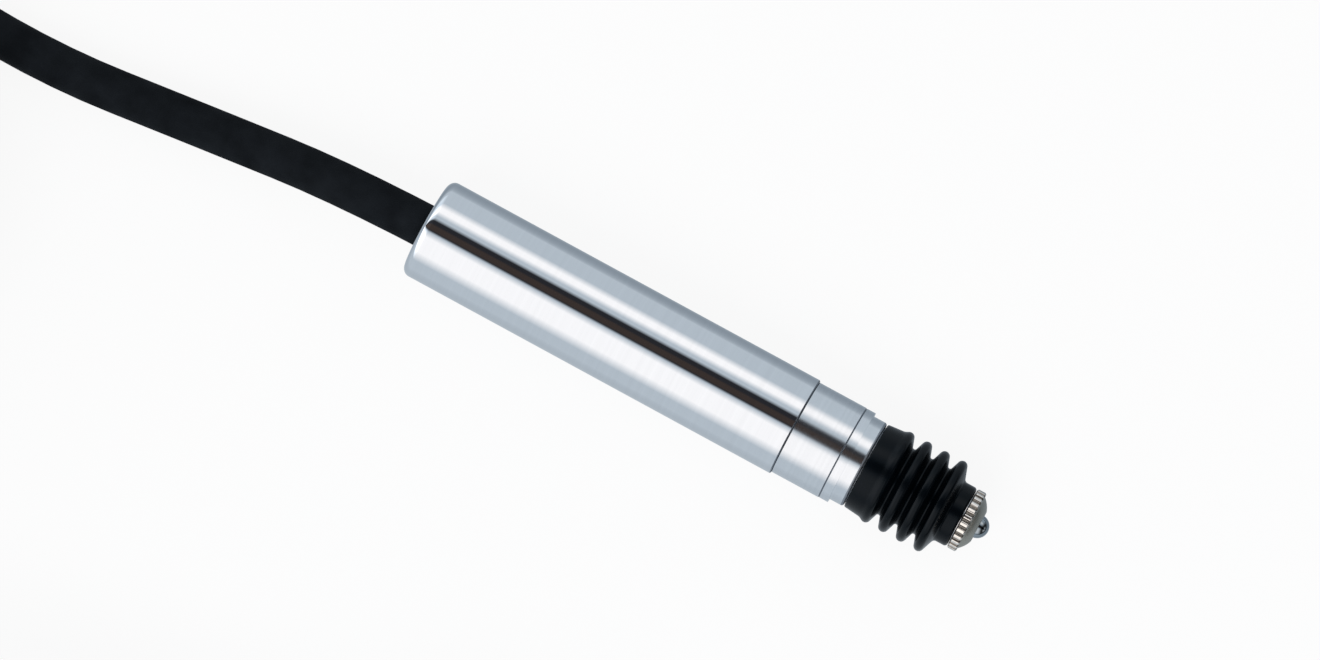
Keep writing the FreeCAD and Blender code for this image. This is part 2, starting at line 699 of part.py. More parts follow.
def coil_solid():
    """Outer shape of the coil of cable: a ring with bevelled edges that lies on the floor."""
    body = doc.addObject("PartDesign::Body", "cable_coil_body")
    sketch = sketch_on(body, "XZ_Plane", "coil_profile")
    inner = "sizes.coil_mean_diameter / 2 - sizes.coil_lanes * sizes.lane_pitch / 2"
    outer = "sizes.coil_mean_diameter / 2 + sizes.coil_lanes * sizes.lane_pitch / 2"
    top = "sizes.coil_rows * sizes.lane_pitch"
    draw_outline(sketch, [(inner, "0"), (outer, "0"), (outer, top), (inner, top)])
    turned = body.newObject("PartDesign::Revolution", "coil_turned")
    turned.Profile = sketch
    turned.ReferenceAxis = (sketch, ["V_Axis"])
    turned.Angle = 360.0
    doc.recompute()
    chamfer = body.newObject("PartDesign::Chamfer", "coil_edges")
    rims = [n for n, edge in enumerate(turned.Shape.Edges, start=1) if isinstance(edge.Curve, Part.Circle)]
    chamfer.Base = (turned, ["Edge%d" % n for n in rims])
    chamfer.setExpression("Size", "sizes.coil_edge_chamfer")
    body.setExpression("Placement.Base.x", "sizes.coil_x")
    body.setExpression("Placement.Base.y", "sizes.coil_y")
    doc.recompute()
    return keep(body, "cable_coil")


def cable_tube(name, points):
    """Cable along straight runs joined by tangent arcs, each as large as its two runs allow."""
    edges = []
    last = points[0]
    for before, corner, after in zip(points, points[1:], points[2:]):
        back = before - corner
        ahead = after - corner
        turn_angle = math.pi - back.getAngle(ahead)
        reach = 0.45 * min(back.Length, ahead.Length)
        radius = reach / math.tan(turn_angle / 2)
        back.normalize()
        ahead.normalize()
        first = corner + back * reach
        second = corner + ahead * reach
        depth = radius / math.cos(turn_angle / 2) - radius
        middle = corner + (back + ahead).normalize() * depth
        edges.append(Part.LineSegment(last, first).toShape())
        edges.append(Part.Arc(first, middle, second).toShape())
        last = second
        print("%s: arc radius %.1f mm at %s" % (name, radius, tuple(round(v, 1) for v in corner)))
    edges.append(Part.LineSegment(last, points[-1]).toShape())
    path = Part.Wire(edges)
    section = Part.Circle(points[0], points[1] - points[0], sizes.cable_diameter / 2)
    tube = path.makePipeShell([Part.Wire([section.toShape()])], True, False)
    expected = math.pi * sizes.cable_diameter ** 2 / 4 * path.Length
    print("%s: length %.1f mm, volume %.1f of %.1f mm3" % (name, path.Length, tube.Volume, expected))
    return tube


def coil_point(angle, height):
    """Point of the coil's outermost lane at an angle and a height."""
    radius = sizes.coil_mean_diameter / 2 + (sizes.coil_lanes - 1) * sizes.lane_pitch / 2
    return FreeCAD.Vector(sizes.coil_x + radius * math.cos(math.radians(angle)),
                          sizes.coil_y + radius * math.sin(math.radians(angle)), height)


def cable(coil):
    """The two stretches of cable that aren't coiled, each ending on the coil's outside."""
    start = FreeCAD.Vector(places.rear_x + places.jacket_end, 0, places.axis_height)
    floor = sizes.cable_diameter / 2
    top = floor + (sizes.coil_rows - 1) * sizes.lane_pitch
    end = FreeCAD.Vector(sizes.plug_x + places.cavity_start + sizes.jacket_in_plug, sizes.plug_y,
                         sizes.cover_diameter / 2)
    lead = [start] + [FreeCAD.Vector(*p) for p in LEAD_POINTS] + [coil_point(LEAD_ANGLE, floor)]
    tail = [coil_point(TAIL_ANGLE, top)] + [FreeCAD.Vector(*p) for p in TAIL_POINTS] + [end]
    for name, points in (("cable_lead", lead), ("cable_tail", tail)):
        piece = doc.addObject("Part::Feature", name)
        piece.Shape = cable_tube(name, points).cut(coil.Shape)
        keep(piece, name)


def plug():
    """Round five-pin plug: boot, cover, metal shield, insert and pins."""
    bore = "sizes.cable_diameter / 2"
    collar = "sizes.boot_collar_diameter / 2"
    rim = "sizes.boot_diameter / 2"
    tail = "sizes.boot_tail_diameter / 2"
    outline = [("0", bore), ("0", tail)]
    for number in range(int(sizes.boot_rings)):
        start = "%d * sizes.boot_ring_pitch" % (number + 1)
        width = "sizes.boot_ring_pitch / 2"
        slope = "(sizes.boot_diameter - sizes.boot_tail_diameter) / 2 / sizes.boot_length"
        first = "%s + %s * %s" % (tail, slope, start)
        outline += [(start, first), (start, first + " - sizes.boot_ring_depth"),
                    (start + " + " + width, first + " - sizes.boot_ring_depth"),
                    (start + " + " + width, first + " + %s * %s" % (slope, width))]
    outline += [("sizes.boot_length", rim), ("sizes.boot_length", collar),
                ("places.cavity_start", collar), ("places.cavity_start", bore)]
    keep(turn("plug_boot", outline, place_on_plug), "plug_boot")

    outer = "sizes.cover_diameter / 2"
    outline = [("sizes.boot_length", collar), ("sizes.boot_length", "sizes.cover_rear_diameter / 2"),
               ("sizes.boot_length + sizes.cover_shoulder", outer)]
    for number in range(int(sizes.grip_count)):
        start = "sizes.boot_length + sizes.grip_start + %d * sizes.grip_pitch" % number
        end = start + " + sizes.grip_pitch / 2"
        outline += [(start, outer), (start, outer + " - sizes.grip_depth"),
                    (end, outer + " - sizes.grip_depth"), (end, outer)]
    shell = "sizes.plug_shield_diameter / 2 + sizes.press_clearance"
    outline += [("places.cover_end", outer), ("places.cover_end", shell),
                ("places.cavity_start", shell), ("places.cavity_start", collar)]
    keep(turn("plug_cover", outline, place_on_plug), "plug_cover")

    shield = ring("plug_shield", "places.plug_shield_start", "places.mouth",
                  "places.plug_bore", "sizes.plug_shield_diameter", place_on_plug)
    sketch = sketch_on(shield, "XY_Plane", "plug_key")
    half = "sizes.key_width / 2"
    start = "places.mouth - sizes.key_length"
    end = "places.mouth + sizes.press_clearance"
    draw_outline(sketch, [(start, "-" + half), (end, "-" + half), (end, half), (start, half)])
    cut_pocket(shield, sketch, "sizes.plug_shield_diameter", False)
    keep(shield, "plug_shield")

    insert = turn("plug_insert", [
        ("places.insert_start", "0"), ("places.insert_start", "places.plug_bore / 2 - sizes.press_clearance"),
        ("places.insert_end", "places.plug_bore / 2 - sizes.press_clearance"),
        ("places.insert_end", "0")], place_on_plug)
    sketch = sketch_on(insert, "YZ_Plane", "plug_hole")
    draw_circle(sketch, "sizes.plug_pin_circle / 2", "0",
                "sizes.plug_pin_diameter / 2 + sizes.press_clearance")
    hole = cut_pocket(insert, sketch, "places.mouth", True)
    repeat_round(insert, hole, "sizes.plug_pin_count", "(sizes.plug_pin_count - 1) * sizes.plug_pin_step")
    keep(insert, "plug_insert")

    pins = []
    for number in range(int(sizes.plug_pin_count)):
        angle = "%d * sizes.plug_pin_step * 1 deg" % number
        pin = doc.addObject("Part::Cylinder", "plug_pin")
        pin.setExpression("Radius", "sizes.plug_pin_diameter / 2")
        pin.setExpression("Height", "places.mouth - sizes.plug_pin_recess - places.insert_start"
                                    " + sizes.plug_pin_tail")
        pin.Placement.Rotation = FreeCAD.Rotation(FreeCAD.Vector(0, 1, 0), 90)
        pin.setExpression("Placement.Base.x", "sizes.plug_x + places.insert_start - sizes.plug_pin_tail")
        pin.setExpression("Placement.Base.y",
                          "sizes.plug_y + sizes.plug_pin_circle / 2 * cos(%s)" % angle)
        pin.setExpression("Placement.Base.z",
                          "sizes.cover_diameter / 2 + sizes.plug_pin_circle / 2 * sin(%s)" % angle)
        pins.append(pin)
    group("plug_pins", pins)


housing_tube()
front_sleeve()
nose_cap()
bellows()
contact_tip()
contact_ball()
plunger()
guide_bush()
ball_cage()
bearing_balls()
anti_rotation_pin()
return_spring()
stop_cup()
measuring_parts()
cable_entry()
cable(coil_solid())
plug()
doc.recompute()

for item in doc.Objects:
    if "Invalid" in item.State or "Error" in item.State:
        raise RuntimeError("%s failed: %s" % (item.Name, item.State))
for node in nodes:
    if node.Shape.isNull() or not node.Shape.isValid() or node.Shape.Volume <= 0:
        raise RuntimeError("%s has no valid solid" % node.Label)

os.makedirs("parts", exist_ok=True)
for node in nodes:
    node.Shape.exportStep("parts/%s.step" % node.Label)
    print("%-20s %2d solids %10.3f mm3" % (node.Label, len(node.Shape.Solids), node.Shape.Volume))
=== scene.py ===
import math

import bmesh
import bpy
from mathutils import Matrix, Vector


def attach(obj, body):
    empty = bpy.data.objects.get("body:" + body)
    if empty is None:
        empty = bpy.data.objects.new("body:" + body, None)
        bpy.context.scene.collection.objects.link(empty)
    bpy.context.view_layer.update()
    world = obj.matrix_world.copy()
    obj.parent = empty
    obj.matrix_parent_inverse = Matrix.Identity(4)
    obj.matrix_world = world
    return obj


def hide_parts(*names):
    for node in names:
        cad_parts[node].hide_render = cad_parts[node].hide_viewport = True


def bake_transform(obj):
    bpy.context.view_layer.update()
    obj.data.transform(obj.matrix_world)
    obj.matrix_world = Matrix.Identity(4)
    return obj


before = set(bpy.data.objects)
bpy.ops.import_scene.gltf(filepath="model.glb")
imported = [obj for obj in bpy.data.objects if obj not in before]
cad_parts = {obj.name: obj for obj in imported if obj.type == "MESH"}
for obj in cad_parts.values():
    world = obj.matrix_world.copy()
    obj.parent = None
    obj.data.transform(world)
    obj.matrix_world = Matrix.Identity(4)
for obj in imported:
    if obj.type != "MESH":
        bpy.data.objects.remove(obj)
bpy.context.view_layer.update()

# Millimetres are the unit of the lengths below, and a mesh gets its points in metres. The camera's, the
# lamp's and the floor's own lengths are in metres.
MM = 0.001

# Where the probe lies: its rear end along X, and its axis above the floor
REAR_X = -24.245
AXIS_Z = 4.0
PROBE = Vector((REAR_X, 0.0, AXIS_Z))

# Places along the probe's axis, measured from its rear end
BUSH_START = 24.6
TUBE_END = 31.9
BUSH_END = 33.6
LIP_START = 36.0
NECK_START = 36.75
NOSE_END = 37.92
BELLOWS_START = 37.99
FOLDS_START = 39.08
FOLD_PITCH = 1.52
HALF_FOLD = FOLD_PITCH / 2
FOLD_COUNT = 4
CRESTS = [FOLDS_START + (2 * fold + 1) * HALF_FOLD for fold in range(FOLD_COUNT)]
FOLDS_END = FOLDS_START + FOLD_COUNT * FOLD_PITCH
BELLOWS_END = 46.24
TIP_START = 46.29
DOME_START = 47.04
DOME_END = 47.69
OVERALL = 48.49

# Radii of the probe's turned pieces
TUBE_R = 4.0
BORE_R = 3.6
HOLE_R = 2.25
SLEEVE_R = 3.84
LIP_R = 3.82
NECK_R = 3.55
COLLAR_R = 3.15
CUFF_R = 3.52
CREST_R = 3.85
VALLEY_R = 2.5
FRONT_CUFF_R = 2.5
KNURL_R = 2.5
BALL_R = 0.93
CABLE_R = 1.7

# Bellows: how far the rear cuff widens, the slope at which it then runs out to the first fold's crest, the
# rounding of the crests, the thickness of the wall, and the bores that grip the nose cap and the plunger
CUFF_FLARE = 0.13
CUFF_SLOPE = math.radians(28)
CREST_ROUND = 0.4
BELLOWS_WALL = 0.34
REAR_GRIP_R = 3.17
FRONT_GRIP_R = 1.82

# Knurl: its teeth, and the gap between two of them: half its width as a share of the pitch, and how steep its
# flanks are
KNURL_TEETH = 26
GAP_HALF = 0.27
GAP_STEEP = 1.6

# Cable's coil on the floor: lanes lie side by side and rows one on another, and angles are in degrees
COIL_CENTRE = (-78.6, -25.4)
COIL_RADIUS = 19.2
LANE_PITCH = 3.45
LANES = 4
LEAD_ANGLE = 75
COIL_SWEEP = 5595
TURN = 360
# Over what angle a turn changes its lane or row, and by how much these changes are staggered from row to row
SHIFT = 60
STAGGER = 20
STEP_ANGLE = 15
# The control points lie a little outside the turns that the spline makes of them.
CORNER_SCALE = 1 / 0.9915

# Plug on the cable's far end: where its rear end lies, and places along it, measured from there
PLUG_X = -18.0
PLUG_Y = -44.0
PLUG_Z = 7.5
PLUG = Vector((PLUG_X, PLUG_Y, PLUG_Z))
COVER_START = 9.0
BOOT_END = 15.0
BOOT_NECK_R = 3.45

# The cable's line outside the coil
CABLE_START = (-19.445, 0.0, AXIS_Z)
LEAD_POINTS = [(-30.0, 0.0, AXIS_Z), (-43.0, -1.25, 1.8), (-57.0, -2.9, CABLE_R)]
TAIL_POINTS = [(-58.0, -49.7, 9.0), (-40.0, -49.3, 7.7), (-28.0, PLUG_Y, PLUG_Z)]
CABLE_END = (-2.0, PLUG_Y, PLUG_Z)


# Nodes of materials and of the room

def feed(tree, value, target):
    """Gives an input its value: another node's output, or a plain number or colour."""
    if isinstance(value, bpy.types.NodeSocket):
        tree.links.new(value, target)
    else:
        target.default_value = value


def add_node(tree, kind, operation=None, **inputs):
    """A shader node with its named inputs."""
    node = tree.nodes.new(kind)
    if operation:
        node.operation = operation
    for name, value in inputs.items():
        feed(tree, value, node.inputs[name.replace("_", " ")])
    return node


def remapped(tree, value, start, end, new_start=0.0, new_end=1.0):
    """A number carried over from one range to another."""
    node = add_node(tree, "ShaderNodeMapRange", Value=value, From_Min=start, From_Max=end, To_Min=new_start,
                    To_Max=new_end)
    return node.outputs["Result"]


def ramped(tree, value, stops):
    """A number from 0 to 1 turned into a colour. Each stop is (place from 0 to 1, colour)."""
    ramp = add_node(tree, "ShaderNodeValToRGB", Fac=value)
    elements = ramp.color_ramp.elements
    while len(elements) < len(stops):
        elements.new(0.5)
    for element, (place, colour) in zip(elements, stops):
        element.position = place
        element.color = (*colour, 1.0)
    return ramp.outputs["Color"]


def calculated(tree, operation, first, second):
    """A number worked out from two numbers."""
    node = add_node(tree, "ShaderNodeMath", operation)
    feed(tree, first, node.inputs[0])
    feed(tree, second, node.inputs[1])
    return node.outputs["Value"]


def scaled(tree, colour, amount):
    """A colour made brighter or darker."""
    node = add_node(tree, "ShaderNodeVectorMath", "SCALE", Scale=amount)
    feed(tree, colour, node.inputs[0])
    return node.outputs["Vector"]


# Materials

MATERIALS = {}

# What part of a noise's range its numbers and colours are spread over, and how rough the noise is
NOISE_LOW = 0.3
NOISE_HIGH = 0.7
NOISE_ROUGHNESS = 0.55


def new_material(name, colour, metallic, roughness):
    """Makes a material and keeps it by its name. Gives its node tree and its main shader."""
    material = bpy.data.materials.new(name)
    material.use_nodes = True
    MATERIALS[name] = material
    tree = material.node_tree
    shader = tree.nodes["Principled BSDF"]
    shader.inputs["Base Color"].default_value = (*colour, 1.0)
    shader.inputs["Metallic"].default_value = metallic
    shader.inputs["Roughness"].default_value = roughness
    return tree, shader


def noise(tree, scale, stretch=(1, 1, 1), detail=3.0):
    """Noise in the object's own coordinates, in metres, stretched along its axes."""
    coordinates = add_node(tree, "ShaderNodeTexCoord").outputs["Object"]
    mapping = add_node(tree, "ShaderNodeMapping", Vector=coordinates, Scale=stretch)
    texture = add_node(tree, "ShaderNodeTexNoise", Vector=mapping.outputs["Vector"], Scale=scale,
                       Detail=detail, Roughness=NOISE_ROUGHNESS)
    return texture.outputs["Fac"]


def vary_roughness(tree, shader, source, low, high):
    """Lets a noise change the roughness between two numbers."""
    feed(tree, remapped(tree, source, NOISE_LOW, NOISE_HIGH, low, high), shader.inputs["Roughness"])


def vary_colour(tree, shader, source, colour, amount):
    """Lets a noise change the colour from a little darker to a little lighter than the one given."""
    darker = [channel * (1 - amount) for channel in colour]
    lighter = [min(1.0, channel * (1 + amount)) for channel in colour]
    stops = [(NOISE_LOW, darker), ((NOISE_LOW + NOISE_HIGH) / 2, colour), (NOISE_HIGH, lighter)]
    feed(tree, ramped(tree, source, stops), shader.inputs["Base Color"])


def add_relief(tree, shader, source, strength, depth):
    """Small relief: depth is its height in millimetres."""
    relief = add_node(tree, "ShaderNodeBump", Height=source, Strength=strength, Distance=depth * MM)
    feed(tree, relief.outputs["Normal"], shader.inputs["Normal"])


def turned_metal(name, colour, roughness, marks=0.3, depth=0.002, amount=0.03):
    """Metal turned about the X axis: fine rings, and cloudy changes of polish."""
    tree, shader = new_material(name, colour, metallic=1.0, roughness=roughness)
    clouds = noise(tree, scale=140.0, stretch=(0.4, 1.0, 1.0))
    vary_roughness(tree, shader, clouds, low=roughness * 0.8, high=roughness * 1.25)
    rings = noise(tree, scale=9000.0, stretch=(1.0, 0.004, 0.004), detail=2.0)
    add_relief(tree, shader, rings, strength=marks, depth=depth)
    streaks = noise(tree, scale=2600.0, stretch=(1.0, 0.006, 0.006))
    vary_colour(tree, shader, streaks, colour, amount)


def cast_surface(name, colour, roughness, grain=3000.0, depth=0.004, metallic=0.0, amount=0.12):
    """Moulded, sintered or plated stuff with an even fine grain."""
    tree, shader = new_material(name, colour, metallic, roughness)
    clouds = noise(tree, scale=350.0)
    vary_roughness(tree, shader, clouds, low=roughness * 0.85, high=roughness * 1.2)
    vary_colour(tree, shader, noise(tree, scale=800.0), colour, amount)
    add_relief(tree, shader, noise(tree, scale=grain, detail=4.0), strength=0.4, depth=depth)


def wound_wire(name, colour):
    """Fine enamelled wire wound round the X axis."""
    tree, shader = new_material(name, colour, metallic=0.9, roughness=0.28)
    coordinates = add_node(tree, "ShaderNodeTexCoord").outputs["Object"]
    wave = add_node(tree, "ShaderNodeTexWave", Vector=coordinates, Scale=1800.0, Distortion=0.6)
    wave.bands_direction = "X"
    vary_colour(tree, shader, noise(tree, scale=900.0), colour, amount=0.15)
    add_relief(tree, shader, wave.outputs["Fac"], strength=0.8, depth=0.03)


def rubber(name, colour, roughness, shine):
    """Black rubber with a faint bloom and a fine grain."""
    tree, shader = new_material(name, colour, metallic=0.0, roughness=roughness)
    shader.inputs["Specular IOR Level"].default_value = shine
    shader.inputs["Specular Tint"].default_value = (0.76, 0.88, 1.0, 1.0)
    bloom = noise(tree, scale=260.0)
    vary_roughness(tree, shader, bloom, low=roughness * 0.8, high=roughness * 1.25)
    vary_colour(tree, shader, noise(tree, scale=500.0, detail=5.0), colour, amount=0.3)
    add_relief(tree, shader, noise(tree, scale=5200.0, detail=4.0), strength=0.35, depth=0.006)


STEEL = (0.60, 0.635, 0.675)
BRASS = (0.72, 0.52, 0.22)

turned_metal("polished_steel", STEEL, 0.035, marks=0.05, depth=0.0005, amount=0.025)
turned_metal("turned_steel", STEEL, 0.14, marks=0.4, depth=0.0015, amount=0.035)
turned_metal("ground_steel", (0.55, 0.56, 0.58), 0.16)
turned_metal("spring_steel", (0.45, 0.46, 0.48), 0.24)
turned_metal("shield_alloy", (0.50, 0.49, 0.46), 0.34)
turned_metal("knurled_nickel", (0.74, 0.71, 0.67), 0.22, amount=0.05)
# Painted shade: dark steel on the chamfers at the joints and on the nose's rounded front, where shade falls
# between the parts
turned_metal("painted_seam_shade", (0.27, 0.30, 0.34), 0.45)
# Painted shade: darker nickel in the knurl's gaps, where shade falls between the teeth
turned_metal("painted_groove_shade", (0.22, 0.205, 0.185), 0.36, amount=0.1)
turned_metal("satin_nickel", (0.36, 0.355, 0.315), 0.42, marks=0.4, depth=0.003, amount=0.06)
turned_metal("cage_brass", BRASS, 0.26)
turned_metal("rod_brass", BRASS, 0.22)
cast_surface("carbide", (0.26, 0.30, 0.33), 0.06, grain=6000.0, depth=0.0003, metallic=1.0, amount=0.03)
cast_surface("ferrite", (0.035, 0.033, 0.034), 0.5)
cast_surface("former_plastic", (0.62, 0.58, 0.48), 0.45)
wound_wire("copper_wire", (0.62, 0.26, 0.10))
cast_surface("board", (0.03, 0.16, 0.07), 0.4)
rubber("bellows_rubber", (0.0007, 0.0016, 0.0027), 0.24, shine=0.12)
rubber("cable_rubber", (0.006, 0.0065, 0.007), 0.45, shine=0.30)
rubber("cable_jacket", (0.0074, 0.0090, 0.0112), 0.75, shine=0.05)
cast_surface("plug_plastic", (0.03, 0.031, 0.034), 0.42)
turned_metal("plug_metal", (0.50, 0.51, 0.53), 0.26, depth=0.003)
turned_metal("pin_metal", (0.78, 0.62, 0.30), 0.2)


# Outlines of turned pieces: lines of points (along the axis, radius)

# Below this cosine between its two sides a corner is as good as straight.
STRAIGHT = -0.9999


def arc(centre, radius, start, end, steps):
    """Points of an arc between two angles in degrees."""
    points = []
    for step in range(steps + 1):
        angle = math.radians(start + (end - start) * step / steps)
        points.append((centre[0] + radius * math.cos(angle), centre[1] + radius * math.sin(angle)))
    return points


def rounded(corners, radii, steps=4):
    """A line through corners, each rounded by its own radius."""
    points = [corners[0]]
    for before, corner, after, radius in zip(corners, corners[1:], corners[2:], radii):
        middle = Vector(corner)
        back = (Vector(before) - middle).normalized()
        ahead = (Vector(after) - middle).normalized()
        if radius == 0 or back.dot(ahead) < STRAIGHT:
            points.append(corner)
            continue
        half = back.angle(ahead) / 2
        reach = radius / math.tan(half)
        centre = middle + (back + ahead).normalized() * radius / math.sin(half)
        first = middle + back * reach - centre
        last = middle + ahead * reach - centre
        turn = first.angle_signed(last)
        for step in range(steps + 1):
            offset = first.copy()
            offset.rotate(Matrix.Rotation(-turn * step / steps, 2))
            points.append(tuple(centre + offset))
    points.append(corners[-1])
    return points


def bulge(start, end, height, steps=8):
    """A shallow curve between two points, standing out from their chord by height at its middle."""
    first, last = Vector(start), Vector(end)
    chord = last - first
    out = Vector((-chord.y, chord.x)).normalized()
    points = []
    for step in range(steps + 1):
        share = step / steps
        points.append(tuple(first + chord * share + out * height * 4 * share * (1 - share)))
    return points


# Turned meshes

# Points closer than this, in metres, become one.
SAME_PLACE = 1e-8


def knurl_phase(angle):
    """Where in one pitch of the knurl an angle lies: 0 on a crest, 0.5 in a gap."""
    return (angle * KNURL_TEETH / (2 * math.pi)) % 1.0


def knurl_depth(angle, depth):
    """How far a gap goes in at an angle."""
    gap = max(0.0, 1.0 - abs(knurl_phase(angle) - 0.5) / GAP_HALF)
    return depth * min(1.0, GAP_STEEP * gap)


def add_ring(build, axis, ring, segments):
    """The points of one ring of a turned piece."""
    along, radius, depth = ring
    points = []
    for step in range(segments):
        angle = 2 * math.pi * step / segments
        reach = radius - (knurl_depth(angle, depth) if depth else 0.0)
        place = axis + Vector((along, reach * math.sin(angle), reach * math.cos(angle)))
        points.append(build.verts.new(place * MM))
    return points


def join_rings(build, first, second):
    """A band of smooth faces from one ring to the next."""
    faces = []
    for step in range(len(first)):
        after = (step + 1) % len(first)
        face = build.faces.new((first[step], second[step], second[after], first[after]))
        face.smooth = True
        faces.append(face)
    return faces


def read_sections(sections):
    """The rings of a turned piece, the material number of the band after each ring, and the sharp rings."""
    rings = []
    bands = []
    sharp = set()
    for material, line in sections:
        if rings:
            sharp.add(len(rings) - 1)
        for point in line:
            if rings:
                bands.append(material)
            rings.append(tuple(point) + (0.0,) * (3 - len(point)))
    if rings[0][:2] == rings[-1][:2]:
        rings.pop()
        sharp.add(0)
    return rings, bands, sharp


def add_object(name, data):
    """A new object in the scene."""
    item = bpy.data.objects.new(name, data)
    bpy.context.scene.collection.objects.link(item)
    return item


def add_mesh(name, build, materials):
    """A new object from finished faces, with its materials."""
    bmesh.ops.recalc_face_normals(build, faces=build.faces)
    mesh = bpy.data.meshes.new(name)
    build.to_mesh(mesh)
    build.free()
    for material in materials:
        mesh.materials.append(MATERIALS[material])
    return add_object(name, mesh)


def lathe(name, sections, axis, materials, segments=256, gap_shade_material=0):
    """A turned piece about an axis along X.

    Each section of its outline is (number of its material, points) and goes on from the last point of the
    section before it, with a sharp edge between the two. The outline is closed where it ends in its first
    point. A point is (along, radius), or (along, radius, depth of the knurl there), and the knurl's gaps have
    their own material, which paints shade into them.
    """
    rings, bands, sharp = read_sections(sections)
    build = bmesh.new()
    loops = [add_ring(build, axis, ring, segments) for ring in rings]
    for number, material in enumerate(bands):
        faces = join_rings(build, loops[number], loops[(number + 1) % len(loops)])
        for step, face in enumerate(faces):
            middle = 2 * math.pi * (step + 0.5) / segments
            # Faces in a knurl gap take the gap's material, a painted shade.
            in_gap = rings[number][2] and abs(knurl_phase(middle) - 0.5) < GAP_HALF
            face.material_index = gap_shade_material if in_gap else material
    for number in sharp:
        loop = loops[number]
        for step in range(segments):
            build.edges.get((loop[step], loop[(step + 1) % segments])).smooth = False
    bmesh.ops.remove_doubles(build, verts=build.verts, dist=SAME_PLACE)
    return add_mesh(name, build, materials)


def add_part(piece, body, slot, *nodes):
    """Ties a finished piece to its body and hides the nodes that it stands for. Its slot is not used."""
    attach(piece, body)
    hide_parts(*nodes)
    return piece


# Probe

def housing_tube():
    """Polished stem: rounded rear edge, broken edge round the cable hole, painted shade in the joint at the
    front.
    """
    edge = 0.65
    joint = 0.08
    wall = 1.2
    rim = 0.12
    # Where the end face eases into its rounded edge: over what width, and by how much
    ease_width = 0.12
    ease_rise = 0.012
    sections = [
        (0, [(rim, HOLE_R), (0.0, HOLE_R + rim)]),
        (0, [(0.0, TUBE_R - edge - ease_width), (ease_rise, TUBE_R - edge),
             *arc((edge, TUBE_R - edge), edge, 170, 90, steps=14), (TUBE_END - joint, TUBE_R)]),
        # The front joint's chamfer and end face carry the painted seam shade.
        (1, [(TUBE_END, TUBE_R - joint), (TUBE_END, BORE_R)]),
        (0, [(wall, BORE_R)]),
        (0, [(wall, HOLE_R)]),
        (0, [(rim, HOLE_R)])]
    piece = lathe("stem", sections, PROBE, ["polished_steel", "painted_seam_shade"], segments=288)
    add_part(piece, "housing", "polished_steel", "housing_tube")


def front_sleeve():
    """Turned sleeve between the stem and the nose ring, with its long spigot inside the stem."""
    chamfer = 0.07
    rear = 24.2
    spigot = 3.57
    shoulder = 3.0
    bush_seat = 3.21
    thread = 3.32
    sections = [
        (0, [(rear, shoulder), (rear, spigot)]),
        (0, [(TUBE_END, spigot)]),
        # The chamfers at both joints carry the painted seam shade.
        (1, [(TUBE_END, SLEEVE_R - chamfer)]),
        (1, [(TUBE_END + chamfer, SLEEVE_R)]),
        (0, [(LIP_START - chamfer, SLEEVE_R)]),
        (1, [(LIP_START, SLEEVE_R - chamfer)]),
        (1, [(LIP_START, thread)]),
        (0, [(BUSH_END, thread)]),
        (0, [(BUSH_END, bush_seat)]),
        (0, [(BUSH_START, bush_seat)]),
        (0, [(BUSH_START, shoulder)]),
        (0, [(rear, shoulder)])]
    piece = lathe("sleeve", sections, PROBE, ["turned_steel", "painted_seam_shade"])
    add_part(piece, "housing", "turned_steel", "front_sleeve")


def nose_cap():
    """Nose ring: lip, neck and the collar under the bellows."""
    chamfer = 0.05
    nose = 0.2
    spigot = 3.3
    bore = 2.2
    collar_end = NOSE_END + 1.0
    sections = [
        (0, [(BUSH_END, bore), (BUSH_END, spigot)]),
        (0, [(LIP_START, spigot)]),
        # The lip's chamfer, the rounded nose and the collar carry the painted seam shade.
        (1, [(LIP_START, LIP_R - chamfer)]),
        (1, [(LIP_START + chamfer, LIP_R)]),
        (0, [(NECK_START, LIP_R)]),
        (0, [(NECK_START, NECK_R)]),
        (0, [(NOSE_END - nose, NECK_R)]),
        (1, arc((NOSE_END - nose, NECK_R - nose), nose, 90, 0, steps=5)[1:]),
        (1, [(NOSE_END, COLLAR_R)]),
        (1, [(collar_end, COLLAR_R)]),
        (0, [(collar_end, bore)]),
        (0, [(BUSH_END, bore)])]
    piece = lathe("nose", sections, PROBE, ["turned_steel", "painted_seam_shade"])
    add_part(piece, "housing", "turned_steel", "nose_cap")


def fold_apex():
    """Height above the valley at which a fold's flanks would meet above its rounded crest."""
    share = 1 - (CREST_ROUND / HALF_FOLD) ** 2
    rest = CREST_R - VALLEY_R - CREST_ROUND
    return (rest + math.sqrt(rest ** 2 - share * (rest ** 2 - CREST_ROUND ** 2))) / share


def bellows_outside():
    """The bellows' outside: from the rear cuff's bore, over the folds, to the front cuff's bore."""
    apex = VALLEY_R + fold_apex()
    # The line that touches the first crest at the cuff's slope: how high it passes over the crest's middle,
    # where it leaves the cuff, and how far past the crest's middle it meets the fold's front flank
    slope = math.tan(CUFF_SLOPE)
    height = CREST_R - CREST_ROUND + CREST_ROUND / math.cos(CUFF_SLOPE)
    foot = CRESTS[0] - (height - CUFF_R - CUFF_FLARE) / slope
    meeting = (apex - height) / (fold_apex() / HALF_FOLD + slope)
    rear_lip = 0.14
    cuff_bend = 0.7
    valley_round = 0.16
    last_valley_round = 0.3
    front_lip = 0.24
    corners = [(BELLOWS_START, REAR_GRIP_R), (BELLOWS_START, CUFF_R), (foot, CUFF_R + CUFF_FLARE),
               (CRESTS[0] + meeting, height + meeting * slope)]
    for middle in CRESTS[1:]:
        corners += [(middle - HALF_FOLD, VALLEY_R), (middle, apex)]
    corners += [(FOLDS_END, VALLEY_R), (BELLOWS_END, FRONT_CUFF_R), (BELLOWS_END, FRONT_GRIP_R)]
    radii = [rear_lip, cuff_bend, CREST_ROUND] + [valley_round, CREST_ROUND] * (FOLD_COUNT - 1)
    return rounded(corners, radii + [last_valley_round, front_lip], steps=8)


